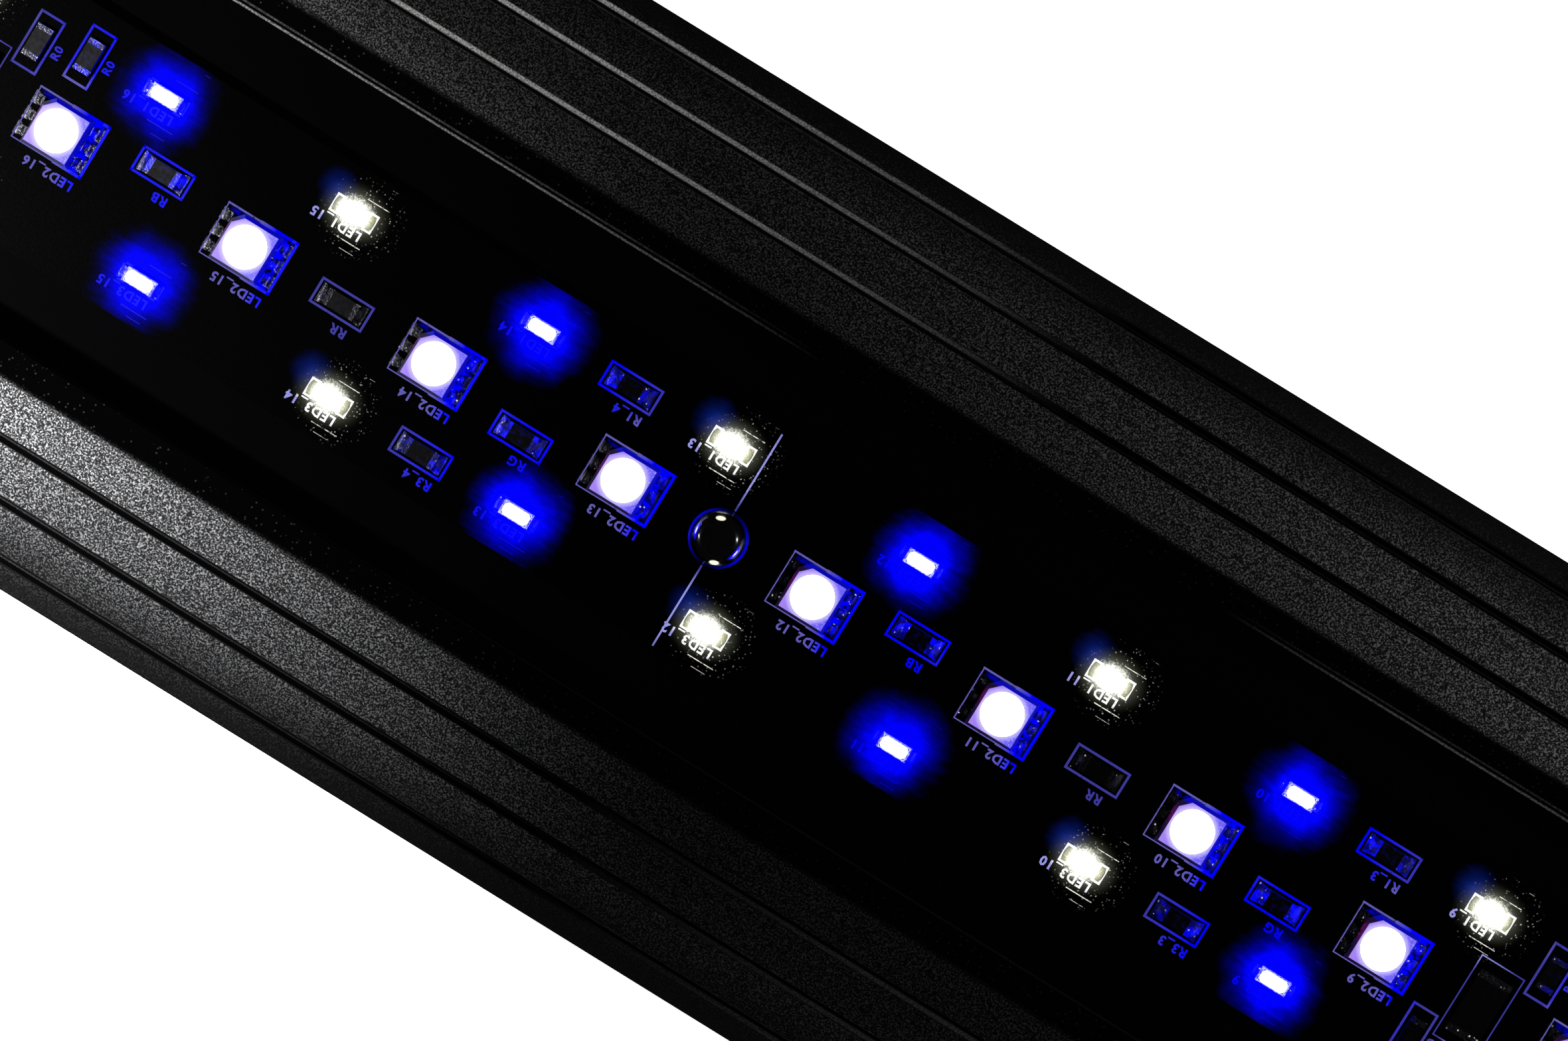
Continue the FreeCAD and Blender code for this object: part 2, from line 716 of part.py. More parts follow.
def make_foot(label):
    """A soft sleeve on the crossbar, with a flat that rests on the tank's rim."""
    body = new_body(label)
    start = "-dims.foot_length / 2"
    section = sketch_on(body, label + "_section", "XZ_Plane", start)
    half = "sqrt(dims.foot_radius^2 - dims.foot_flat^2)"
    high = "dims.crossbar_z + dims.foot_flat"
    side_z = "dims.crossbar_z"
    right = "dims.crossbar_x + dims.foot_radius"
    left = "dims.crossbar_x - dims.foot_radius"
    bottom = "dims.crossbar_z - dims.foot_radius"
    draw_loop(section, [
        ("dims.crossbar_x", bottom),
        (right, side_z),
        ("dims.crossbar_x + %s" % half, high),
        ("dims.crossbar_x - %s" % half, high),
        (left, side_z),
    ], {0: "dims.foot_radius", 1: "dims.foot_radius", 3: "dims.foot_radius",
        4: "dims.foot_radius"})
    pad(body, section, "dims.foot_length")
    bore = sketch_on(body, label + "_bore", "XZ_Plane", "dims.foot_length / 2")
    draw_circle(bore, "dims.crossbar_x", "dims.crossbar_z", "dims.rod_radius + dims.fit")
    pocket(body, bore, "dims.foot_length")
    return body


# ---------------------------------------------------------------- power socket and its wiring
def make_turned(label, corners):
    """A piece turned about the socket's axis, which runs along X."""
    body = new_body(label)
    sketch = sketch_on(body, label + "_half", "XZ_Plane")
    sketch.setExpression("AttachmentOffset.Base.y", "dims.socket_z")
    draw_loop(sketch, corners)
    revolve(body, sketch)
    return body


def make_socket():
    face = CAP_END_X
    seat = "(%s + dims.socket_seal_thick)" % face
    mouth = "(%s + dims.socket_flange_thick)" % seat
    back = "dims.socket_back_x"
    floor = "(dims.socket_back_x + dims.socket_wall)"
    bore = "dims.socket_bore_radius"
    make_turned("socket_body", [
        (back, "0"), (floor, "0"), (floor, bore), (mouth, bore),
        (mouth, "dims.socket_flange_radius"), (seat, "dims.socket_flange_radius"),
        (seat, "dims.socket_radius"), (back, "dims.socket_radius"),
    ][::-1])
    outer = "%s - dims.fit" % bore
    inner = "%s - dims.socket_sleeve_wall" % bore
    lip = "%s - 0.4" % mouth
    make_turned("socket_sleeve", [(floor, inner), (lip, inner), (lip, outer), (floor, outer)])
    tip = "%s - 1.2" % mouth
    radius = "dims.socket_pin_radius"
    make_turned("socket_pin", [
        (floor, "0"), (tip, "0"), (tip, "%s * 0.55" % radius),
        ("%s - 0.5" % tip, radius), (floor, radius),
    ])
    ring_in = "dims.socket_radius + 0.05"
    ring_out = "dims.socket_flange_radius - 0.15"
    make_turned("socket_seal", [(face, ring_in), (seat, ring_in), (seat, ring_out),
                                (face, ring_out)])
    tails = []
    for side in (-1, 1):
        tails.append(block(size("socket_back_x") - size("tail_length") / 2,
                           side * size("tail_y"), size("socket_z") - 0.2,
                           size("tail_length"), 1.3, 0.4))
    copies("socket_tails", tails)


CONNECTOR_X = 235.9
CONNECTOR_Y = -6.4


def make_wiring():
    length, width, rise = 6.4, 6.0, 1.8
    shell = block(CONNECTOR_X, CONNECTOR_Y, BOARD_TOP, length, width, rise)
    gaps = [CONNECTOR_Y + 1.25, CONNECTOR_Y - 1.25]
    wire_z = BOARD_TOP + 0.95
    wire = size("wire_radius")
    for y in gaps:
        mouth = Part.makeCylinder(wire + 0.1, 3.0, Vector(CONNECTOR_X + length / 2 - 3.0, y, wire_z),
                                  Vector(1, 0, 0))
        shell = shell.cut(mouth)
    copies("board_connector", [shell])
    pins = [block(CONNECTOR_X - length / 2 - 0.45, y, BOARD_TOP, 0.9, 1.0, 0.25) for y in gaps]
    copies("connector_pins", pins)
    tail_x = size("socket_back_x") - size("tail_length")
    for label, y, side in (("wire_red", gaps[0], 1), ("wire_black", gaps[1], -1)):
        points = [
            Vector(CONNECTOR_X + length / 2 - 3.0, y, wire_z),
            Vector(242.4, y, wire_z),
            Vector(246.2, side * size("tail_y"), size("socket_z")),
            Vector(tail_x, side * size("tail_y"), size("socket_z")),
        ]
        swept_piece(label, points, 2.0, wire)


# ---------------------------------------------------------------- build and write out
make_housing()
make_cover()
make_sheet_with_holes("thermal_pad", "dims.pad_length", "dims.pad_width",
                      "dims.pad_thick", "dims.floor_z")
make_sheet_with_holes("circuit_board", "dims.board_length", "dims.board_width",
                      "dims.board_thick", BOARD_LOW)
make_board_screws()
make_colour_leds()
make_side_leds()
make_chips()
make_wiring()
make_socket()
for side in ("left", "right"):
    pieces = [
        make_cap("end_cap_" + side, side == "right"),
        make_gasket("end_gasket_" + side),
        make_cap_screws("cap_screws_" + side),
        make_bushes("guide_bushes_" + side),
        make_bracket("bracket_" + side),
        make_slider_blocks("slider_blocks_" + side),
        make_foot("foot_sleeve_" + side),
    ]
    if side == "left":
        for piece in pieces:
            half_turn(piece)
doc.recompute()

for item in doc.Objects:
    if "Invalid" in item.State or "Error" in item.State:
        raise RuntimeError("%s failed: %s" % (item.Name, item.State))
for item in kept:
    if item.Shape.isNull() or not item.Shape.isValid() or not item.Shape.Solids:
        raise RuntimeError("%s has no good solid" % item.Label)
for item in kept:
    item.Shape.exportStep("parts/%s.step" % item.Label)
    print("%-22s %4d solids %10.1f mm3" % (item.Label, len(item.Shape.Solids), item.Shape.Volume))
print(len(kept), "sub-parts")
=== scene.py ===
"""The looks of an LED aquarium light that lies on its back with its lamps on.

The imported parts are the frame. This script gives them their finishes and adds what is printed,
soldered and etched on the board. Lengths are in metres.
"""
import math
import random
import bpy
import bmesh
from mathutils import Matrix, Vector


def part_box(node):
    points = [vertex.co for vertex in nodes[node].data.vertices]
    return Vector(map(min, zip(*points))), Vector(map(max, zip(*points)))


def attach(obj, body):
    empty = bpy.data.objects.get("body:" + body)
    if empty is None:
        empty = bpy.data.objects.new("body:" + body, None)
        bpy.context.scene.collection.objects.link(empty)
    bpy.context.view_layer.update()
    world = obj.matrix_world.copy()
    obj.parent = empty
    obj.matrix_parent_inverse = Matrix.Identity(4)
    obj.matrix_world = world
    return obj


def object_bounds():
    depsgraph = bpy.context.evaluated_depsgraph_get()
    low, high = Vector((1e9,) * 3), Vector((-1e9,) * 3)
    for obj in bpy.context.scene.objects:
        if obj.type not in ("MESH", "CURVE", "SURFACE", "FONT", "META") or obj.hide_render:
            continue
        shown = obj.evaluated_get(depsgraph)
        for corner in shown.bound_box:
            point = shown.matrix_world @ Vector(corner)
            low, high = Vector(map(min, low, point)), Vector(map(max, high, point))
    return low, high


MM = 0.001
BLACK = (0.0, 0.0, 0.0)
WHITE = (1.0, 1.0, 1.0)
BLUE = (0.0, 0.0, 1.0)

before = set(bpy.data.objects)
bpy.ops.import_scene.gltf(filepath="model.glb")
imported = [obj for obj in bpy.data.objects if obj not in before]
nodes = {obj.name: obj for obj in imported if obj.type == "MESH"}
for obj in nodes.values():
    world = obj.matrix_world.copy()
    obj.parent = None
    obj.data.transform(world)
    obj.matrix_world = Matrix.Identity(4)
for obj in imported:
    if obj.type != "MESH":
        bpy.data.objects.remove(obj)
cad_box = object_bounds()

# ---------------------------------------------------------------- places on the board
BOARD_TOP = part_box("circuit_board")[1][2]
LED_COUNT = 24
PITCH = 20 * MM
SIDE_SHIFT = PITCH / 3
SIDE_ROW = 7.7 * MM
GROUPS = 6
GROUP_PITCH = 4 * PITCH
GROUP_CHIPS = ((-20.0, 1.75, "RB"), (0.0, 0.1, "RR"), (20.0, -1.6, "RG"),
               (26.2, 7.4, "R1"), (13.1, -7.6, "R3"))
BORDERS = (-80.0, 80.0)
BORDER_CHIPS = ((4.2, 5.9, "R0"), (8.9, 7.2, "R0"), (-3.7, -5.3, "R0"))
SCREWS = (-160 * MM, 0.0, 160 * MM)


def led_x(number):
    """Place along the board of a middle LED, counted from the end with the socket."""
    return (LED_COUNT / 2 + 0.5 - number) * PITCH


def middle_leds():
    """Number and place of each middle LED."""
    return [(number, led_x(number), 0.0) for number in range(1, LED_COUNT + 1)]


def side_leds():
    """Row, number and place of the small LEDs on both sides of the middle row."""
    found = []
    for number in range(1, LED_COUNT + 1):
        found.append((1, number, led_x(number) + SIDE_SHIFT, SIDE_ROW))
        found.append((3, number, led_x(number) - SIDE_SHIFT, -SIDE_ROW))
    return found


def small_chips():
    """Centre, whether it stands upright across the board, and the mark of each small resistor."""
    found = []
    for group in range(GROUPS):
        centre = (group - (GROUPS - 1) / 2) * GROUP_PITCH
        for x, y, mark in GROUP_CHIPS:
            if mark[-1] in "13":
                mark = "%s_%d" % (mark, GROUPS - group)
            found.append((centre + x * MM, y * MM, False, mark))
    for border in BORDERS:
        for x, y, mark in BORDER_CHIPS:
            found.append(((border + x) * MM, y * MM, True, mark))
    return found


# ---------------------------------------------------------------- finishes
class Level:
    """A number that changes over a surface; sums on it become Math nodes."""

    def __init__(self, finish, socket):
        self.finish = finish
        self.socket = socket

    def combine(self, operation, *values):
        return self.finish.node("ShaderNodeMath", {"operation": operation}, list(values))

    def __add__(self, other):
        return self.combine("ADD", self, other)

    def __radd__(self, other):
        return self.combine("ADD", other, self)

    def __sub__(self, other):
        return self.combine("SUBTRACT", self, other)

    def __rsub__(self, other):
        return self.combine("SUBTRACT", other, self)

    def __mul__(self, other):
        return self.combine("MULTIPLY", self, other)

    def __rmul__(self, other):
        return self.combine("MULTIPLY", other, self)

    def __pow__(self, other):
        return self.combine("POWER", self, other)

    def __rpow__(self, other):
        return self.combine("POWER", other, self)

    def absolute(self):
        return self.combine("ABSOLUTE", self)

    def clamped(self):
        return self.finish.node("ShaderNodeClamp", {}, {"Value": self})

    def larger(self, other):
        return self.combine("MAXIMUM", self, other)


class Finish:
    """One material, built node by node round its Principled shader."""

    def __init__(self, name):
        self.material = bpy.data.materials.new(name)
        self.material.use_nodes = True
        self.tree = self.material.node_tree
        self.shader = self.tree.nodes["Principled BSDF"]
        self.output = self.tree.nodes["Material Output"]

    def node(self, kind, settings=None, inputs=None, out=0):
        """Adds a node: its settings first, then the values or links of its sockets."""
        made = self.tree.nodes.new(kind)
        for key, setting in (settings or {}).items():
            setattr(made, key, setting)
        pairs = inputs.items() if isinstance(inputs, dict) else enumerate(inputs or [])
        for key, given in pairs:
            self.feed(made.inputs[key], given)
        return Level(self, made.outputs[out])

    def feed(self, socket, given):
        if isinstance(given, Level):
            self.tree.links.new(given.socket, socket)
        else:
            socket.default_value = given

    def set(self, **sockets):
        """Sets the shader's sockets; a name's underscores stand for spaces."""
        for name, given in sockets.items():
            self.feed(self.shader.inputs[name.replace("_", " ")], self.colour(given))

    def place(self):
        return self.node("ShaderNodeTexCoord", out="Object")

    def axes(self):
        """The three coordinates on the object, in metres."""
        apart = self.node("ShaderNodeSeparateXYZ", {}, [self.place()])
        return [Level(self, apart.socket.node.outputs[index]) for index in range(3)]

    def noise(self, grain, detail=2.0, roughness=0.5, place=None):
        """Soft noise whose features are about grain metres wide."""
        return self.node("ShaderNodeTexNoise", {}, {
            "Vector": place or self.place(), "Scale": 1 / grain, "Detail": detail,
            "Roughness": roughness})

    def specks(self, grain):
        """Distance to the nearest of many scattered points, in grains."""
        return self.node("ShaderNodeTexVoronoi", {}, {"Vector": self.place(), "Scale": 1 / grain})

    def stretched(self, x, y, z):
        """Coordinates scaled along each axis, for brushed or streaky grain."""
        return self.node("ShaderNodeVectorMath", {"operation": "MULTIPLY"},
                         {0: self.place(), 1: (x, y, z)})

    def blend(self, factor, first, second):
        return self.node("ShaderNodeMix", {"data_type": "RGBA"}, {
            0: factor, 6: self.colour(first), 7: self.colour(second)}, out=2)

    def summed(self, first, second):
        return self.node("ShaderNodeMix", {"data_type": "RGBA", "blend_type": "ADD"}, {
            0: 1.0, 6: self.colour(first), 7: self.colour(second)}, out=2)

    def tinted(self, level, colour):
        """A colour that is as strong as level says."""
        return self.blend(level, BLACK, colour)

    def colour(self, given):
        """A plain colour gets the fourth part that sockets ask for."""
        return (*given, 1) if isinstance(given, tuple) and len(given) == 3 else given

    def bumped(self, height, distance, strength=1.0):
        self.set(Normal=self.node("ShaderNodeBump", {}, {
            "Height": height, "Distance": distance, "Strength": strength}))
        return self

    def wrapped(self, value, start, pitch):
        """Signed distance from the nearest of many places a pitch apart."""
        return self.node("ShaderNodeMath", {"operation": "WRAP"},
                         [value - start, pitch / 2, -pitch / 2])


def falloff(level, full, none):
    """1 up to the distance full, then down to 0 at the distance none."""
    return ((none - level) * (1 / (none - full))).clamped()


def rise(level, none, full):
    """0 up to the distance none, then up to 1 at the distance full."""
    return ((level - none) * (1 / (full - none))).clamped()


# An odd and an even number: in row 1 the odd lamps are white and the even ones blue.
WHITE_NUMBER = 13
BLUE_NUMBER = 12
# The blue lamps' light on ink, solder and resistors is full up to the first distance from
# them, and gone at the second.
BLUE_REACH = (8.0 * MM, 13.5 * MM)


class Glow:
    """How far each spot is from the lamps, for the finishes that show their light."""

    def __init__(self, finish):
        self.finish = finish
        x, y, z = finish.axes()
        half = finish.node("ShaderNodeMath", {"operation": "SIGN"}, [y])
        along = x * half
        across = y.absolute() - SIDE_ROW
        white_x = finish.wrapped(along, led_x(WHITE_NUMBER) + SIDE_SHIFT, 2 * PITCH)
        self.up = z - BOARD_TOP
        self.blue_x = finish.wrapped(along, led_x(BLUE_NUMBER) + SIDE_SHIFT, 2 * PITCH)
        self.white_x = white_x * half
        self.side_y = across * half
        self.middle_x = finish.wrapped(x, led_x(BLUE_NUMBER), PITCH)
        self.y = y
        self.to_blue = length(self.blue_x, across)
        self.to_white = length(white_x * 0.8, across)
        self.to_middle = length(self.middle_x, y)

    def wash(self):
        """The light that the small lamps throw on whatever stands close to them, painted as
        emission: blue halos, white cores, tinted haze and fine glints.
        """
        finish = self.finish
        streaks = finish.noise(0.4 * MM, 3.0, 0.7, finish.stretched(0.22, 1.0, 1.0))
        lumps = finish.noise(3.5 * MM, 2.0)
        ragged = (streaks - 0.5) * 1.3 * MM + (lumps - 0.5) * 2.4 * MM
        self.halo = falloff(self.to_blue + ragged, 2.4 * MM, 5.8 * MM) ** 3.5
        spikes = finish.noise(0.16 * MM, 3.0, 0.7)
        prickly = (spikes - 0.5) * 1.5 * MM
        core = falloff(self.to_white + prickly, 1.10 * MM, 1.75 * MM) ** 1.8
        olive = falloff(self.white_x.absolute(), 1.95 * MM, 2.1 * MM) * falloff(
            self.side_y.absolute(), 0.70 * MM, 0.85 * MM) * rise(spikes, 0.35, 0.60)
        faint = falloff(self.to_white, 1.2 * MM, 3.2 * MM) ** 3.0
        patch = length(self.white_x + 2.5 * MM, self.side_y - 1.2 * MM)
        haze = falloff(patch + ragged * 0.5, 0.2 * MM, 2.3 * MM) ** 1.8
        # Painted glints: fine specks of the white lamps' light scattered round them.
        glint_dots = falloff(finish.specks(0.34 * MM), 0.12, 0.28)
        sprinkled_glints = glint_dots * rise(spikes, 0.50, 0.56) * falloff(
            length(self.white_x - 0.8 * MM, self.side_y), 2.0 * MM, 4.2 * MM)
        light = finish.tinted(self.halo, BLUE)
        light = finish.summed(light, finish.tinted(olive, (0.28, 0.28, 0.09)))
        light = finish.summed(light, finish.tinted(faint, (0.16, 0.17, 0.12)))
        light = finish.summed(light, finish.tinted(haze, (0.002, 0.012, 0.16)))
        light = finish.summed(light, finish.tinted(sprinkled_glints * 0.7, (0.8, 0.8, 0.75)))
        return finish.summed(light, finish.tinted(core, (1.0, 1.0, 0.92)))

    def blue_side(self):
        """The strip past a middle lamp's last leads, which its blue light fills."""
        inside = falloff(self.y.absolute(), 2.45 * MM, 2.65 * MM)
        past = rise(self.middle_x, 1.9 * MM, 2.1 * MM) * falloff(
            self.middle_x, 3.1 * MM, 3.5 * MM)
        above = rise(self.y, 2.0 * MM, 2.2 * MM) * falloff(self.y, 2.35 * MM, 2.6 * MM)
        near = falloff(self.middle_x.absolute(), 2.6 * MM, 3.2 * MM)
        return (past * inside).larger(above * near * 0.35)


def length(a, b):
    """How far a place is whose coordinates are a and b."""
    return (a * a + b * b) ** 0.5


# Distances from the housing's middle plane.
GROOVES = (25.8 * MM, 30.8 * MM, 35.5 * MM)
LIP_EDGE = 18.5 * MM
LIP_FOOT = 18.3 * MM
FLANK = (20.7 * MM, 21.4 * MM)
OUTER_SLOPE = (32.0 * MM, 37.5 * MM)
GROOVE_WALL = 0.2 * MM
LIP_TOP = 0.45 * MM
# Where light falls along the housing.
LEFT_END = (-200 * MM, -120 * MM)
RIGHT_END = (120 * MM, 200 * MM)


def along_grooves(finish, offset, full, none):
    """1 on lines that follow the grooves, offset outwards from their middles."""
    out = finish.axes()[1].absolute() - offset
    lines = falloff((out - GROOVES[0]).absolute(), full, none)
    for middle in GROOVES[1:]:
        lines = lines.larger(falloff((out - middle).absolute(), full, none))
    return lines


def edge_light(finish, sparkle):
    """Painted highlights: the light caught by the grooves' outer walls and the lips' inner edges,
    painted as emission.
    """
    x, y, z = finish.axes()
    out = y.absolute()
    rear = rise(y, 0.0, 1.0 * MM)
    walls = along_grooves(finish, GROOVE_WALL, 0.12 * MM, 0.26 * MM)
    edge = falloff((out - LIP_EDGE).absolute(), 0.06 * MM, 0.15 * MM).larger(
        falloff((out - LIP_EDGE - LIP_TOP).absolute(), 0.04 * MM, 0.12 * MM) * 0.3)
    left = rise(x, *LEFT_END)
    right = falloff(x, *RIGHT_END)
    by_walls = rear * left * falloff(x, -60 * MM, 22 * MM) ** 1.6 * 0.5
    by_walls = by_walls + (1 - rear) * rise(x, 0.0, 40 * MM) * right * 0.015
    by_edge = rear * left * falloff(x, -75 * MM, 0.0) ** 1.4 * 0.45
    by_edge = by_edge + rear * rise(x, 42 * MM, 62 * MM) * right * 0.05
    return (walls * by_walls + edge * by_edge) * sparkle * rise(z, 2 * MM, 3 * MM)


def black_powder_coat():
    """Satin black with the dense sparkling grain of a powder coat, with painted shade: sparser
    inside the lips, none along the grooves and less on the outer slopes; painted highlights glow
    along the groove walls and lip edges.
    """
    finish = Finish("black_powder_coat")
    out = finish.axes()[1].absolute()
    pebble = finish.noise(0.2 * MM, 2.0, 0.6)
    grain = rise(finish.noise(0.17 * MM, 1.0), 0.35, 0.65)
    on_flank = rise(out, *FLANK)
    on_slope = (1 - on_flank) * rise(out, LIP_FOOT, LIP_EDGE)
    sparse = falloff(finish.specks(0.55 * MM), 0.10, 0.24) * on_slope
    # Painted shade: the grain's sparkle is taken out along the grooves and cut by seven tenths on
    # the outer slopes, and inside the lips only sparse specks are left.
    painted_groove_shade = along_grooves(finish, 0.05 * MM, 0.34 * MM, 0.46 * MM)
    outer = rise(out, *OUTER_SLOPE)
    flakes_and_painted_shade = grain * on_flank * (1 - painted_groove_shade) * (1 - outer * 0.7) + sparse * 0.5
    cloudy = finish.noise(9 * MM, 3.0)
    # Painted highlights on the groove walls and lip edges, as emission.
    light = finish.tinted(edge_light(finish, 0.25 + grain * 0.75), (1.0, 1.0, 0.98))
    dark, bright = (0.0010, 0.0010, 0.0012), (0.30, 0.30, 0.31)
    finish.set(Base_Color=finish.blend(flakes_and_painted_shade ** 2.5, dark, bright), Metallic=flakes_and_painted_shade,
               Roughness=0.12 + (on_flank + sparse) * (0.30 + cloudy * 0.06),
               Specular_IOR_Level=0.2, Emission_Color=light, Emission_Strength=1.0)
    return finish.bumped(pebble * (0.1 + on_flank * 0.9), 0.03 * MM, 1.0).material


def solder_mask():
    """Black solder mask, with the light of the lamps on it."""
    finish = Finish("solder_mask")
    glow = Glow(finish)
    grain = finish.noise(0.3 * MM, 3.0)
    # Painted light: broken patches of the middle lamps' blue light past their last leads.
    light_patches = rise(finish.noise(0.7 * MM, 3.0, 0.6), 0.40, 0.52)
    light = finish.summed(glow.wash(), finish.tinted(glow.blue_side() * light_patches, BLUE))
    finish.set(Base_Color=(0.0002, 0.0002, 0.0003), Roughness=0.20 + grain * 0.08,
               Specular_IOR_Level=0.05, Emission_Color=light, Emission_Strength=1.0)
    return finish.bumped(grain, 0.01 * MM, 0.5).material


def printed_ink():
    """White ink, whose colour is the light of the nearest lamp painted on it as emission; inside
    the blue halos only the painted halo shows.
    """
    finish = Finish("printed_ink")
    glow = Glow(finish)
    worn = finish.noise(0.35 * MM, 3.0, 0.7)
    by_blue = falloff(glow.to_blue, *BLUE_REACH)
    by_middle = falloff(glow.to_middle, 5.0 * MM, 6.2 * MM)
    last_side = rise(glow.middle_x + glow.y * 0.25, 0.6 * MM, 2.2 * MM)
    dim = finish.blend(by_blue, (0.045, 0.040, 0.30), (0.0, 0.0, 0.85))
    lit = finish.blend(last_side, (0.115, 0.10, 0.42), BLUE)
    shade = finish.blend(by_middle, dim, lit)
    by_white = falloff(glow.to_white, 3.4 * MM, 5.2 * MM)
    shade = finish.blend(by_white, shade, (0.30, 0.30, 0.75))
    shade = finish.blend(falloff(glow.to_white, 2.2 * MM, 2.6 * MM), shade, WHITE)
    shade = finish.blend(falloff(worn, 0.30, 0.40) * 0.8, shade, (0.0, 0.0, 0.03))
    wash = glow.wash()
    shade = finish.blend(glow.halo, shade, BLACK)
    finish.set(Base_Color=(0.004, 0.004, 0.02), Roughness=0.6, Specular_IOR_Level=0.05,
               Emission_Color=finish.summed(shade, wash), Emission_Strength=1.0)
    return finish.bumped(worn, 0.01 * MM, 0.5).material


def etched_glint():
    """Edges of copper under the mask, with painted glints of the lamps' light that show only
    close to a lamp.
    """
    finish = Finish("etched_glint")
    glow = Glow(finish)
    broken = finish.noise(0.5 * MM, 3.0, 0.7)
    shown = falloff(glow.to_white, 2.6 * MM, 4.4 * MM) * rise(broken, 0.36, 0.52)
    blue = falloff(glow.to_blue, 3.0 * MM, 5.6 * MM)
    light = finish.summed(finish.tinted(shown, (0.95, 0.90, 0.80)),
                          finish.tinted(blue * 0.9, (0.0, 0.0, 0.9)))
    finish.set(Base_Color=(0.002, 0.002, 0.003), Roughness=0.3, Emission_Color=light,
               Emission_Strength=1.0, Specular_IOR_Level=0.2)
    return finish.bumped(broken, 0.01 * MM, 0.5).material


def small_package(name, lamp_colour, around, half_long, half_wide):
    """A side lamp's package, in painted light: its painted glare fills an oblong that is wider
    than the window, and the rest glows in the colour of the light around it.
    """
    finish = Finish(name)
    glow = Glow(finish)
    grain = finish.noise(0.22 * MM, 3.0, 0.7)
    along = (glow.blue_x if name == "blue_package" else glow.white_x).absolute()
    glare = falloff(along, half_long, half_long + 0.08 * MM) * falloff(
        glow.side_y.absolute(), half_wide, half_wide + 0.06 * MM)
    tint = finish.blend(rise(grain, 0.45, 0.6) * 0.6, around, lamp_colour)
    finish.set(Base_Color=(0.05, 0.05, 0.08), Roughness=0.38,
               Emission_Color=finish.blend(glare, tint, lamp_colour), Emission_Strength=1.0)
    return finish.bumped(grain, 0.01 * MM, 0.4).material


def colour_package():
    """The middle lamps' package, with its light painted as emission: lavender on top, redder at
    its first leads and bluer at the last; its walls painted blue on the sides towards the last
    leads and the rear and dark on the others, with a faint painted purple glow by the first
    leads.
    """
    finish = Finish("colour_package")
    glow = Glow(finish)
    grain = finish.noise(0.2 * MM, 3.0, 0.75)
    ratio = rise(glow.middle_x, -2.2 * MM, 2.2 * MM)
    top = finish.blend(ratio, (0.38, 0.23, 0.88), (0.13, 0.10, 0.95))
    top = finish.blend(rise(grain, 0.52, 0.66) * ratio * 0.7, top, (0.55, 0.55, 1.0))
    top = finish.blend(falloff(glow.to_middle, 2.02 * MM, 2.5 * MM) * 0.7, top, (0.80, 0.72, 1.0))
    # Painted light and shade: the walls are blue where the lamp's light falls and dark on the
    # other sides.
    bright = rise(glow.middle_x.larger(glow.y), 1.9 * MM, 2.1 * MM)
    wall = finish.blend(bright, (0.006, 0.002, 0.02), (0.0, 0.0, 0.42))
    warm = falloff(length(glow.middle_x + 2.3 * MM, glow.y - 0.4 * MM), 0.2 * MM, 1.2 * MM)
    wall = finish.summed(wall, finish.tinted(warm * rise(grain, 0.4, 0.6), (0.12, 0.0, 0.10)))
    finish.set(Base_Color=(0.04, 0.04, 0.08), Roughness=0.36,
               Emission_Color=finish.blend(rise(glow.up, 1.40 * MM, 1.47 * MM), wall, top),
               Emission_Strength=1.0)
    return finish.bumped(grain, 0.01 * MM, 0.4).material


def lit_window(name, colour, rim, strength, rounded=False):
    """A lamp's window: full in the middle, faintly tinted where its filling is thin.

    Rounded is for the blue lamps, whose windows turn pure blue towards their corners.
    """
    finish = Finish(name)
    grain = finish.noise(0.4 * MM, 2.0)
    shade = finish.blend(falloff(grain, 0.2, 0.5) * 0.5, colour, rim)
    if rounded:
        glow = Glow(finish)
        past_end = (glow.blue_x.absolute() - 0.88 * MM).larger(0.0)
        past_side = (glow.side_y.absolute() - 0.18 * MM).larger(0.0)
        full = falloff(length(past_end, past_side), 0.33 * MM, 0.43 * MM)
        shade = finish.blend(full, BLUE, shade)
    finish.set(Base_Color=(0.3, 0.3, 0.3), Roughness=0.25, Emission_Color=shade,
               Emission_Strength=strength)
    return finish.bumped(grain, 0.005 * MM, 0.2).material


def tinned_metal():
    """Tin on leads, chip ends and solder: dark from above, with painted broken blue and white
    glints and the lamps' painted light.
    """
    finish = Finish("tinned_metal")
    glow = Glow(finish)
    grain = finish.noise(0.24 * MM, 3.0, 0.7)
    patches = finish.noise(0.8 * MM, 2.0, 0.5)
    # Painted light: patches of the blue lamps' light, and white glints.
    by_blue = falloff(glow.to_blue, *BLUE_REACH) * rise(glow.to_middle, 4.0 * MM, 4.4 * MM)
    blue = by_blue * (0.12 + rise(patches, 0.46, 0.60) * 0.8)
    blue = blue.larger(glow.blue_side() * (0.1 + rise(patches, 0.44, 0.58) * 0.9))
    spot = falloff(finish.specks(0.55 * MM), 0.06, 0.22) * rise(grain, 0.50, 0.56)
    light = finish.summed(finish.tinted(blue, BLUE),
                          finish.tinted(spot * falloff(glow.y.absolute(), 9 * MM, 10 * MM),
                                        (0.95, 0.88, 0.95)))
    finish.set(Base_Color=finish.blend(grain, (0.015, 0.015, 0.02), (0.08, 0.08, 0.09)),
               Metallic=1.0, Roughness=0.20 + grain * 0.2,
               Emission_Color=finish.summed(light, glow.wash()), Emission_Strength=1.0)
    return finish.bumped(grain, 0.05 * MM, 1.0).material


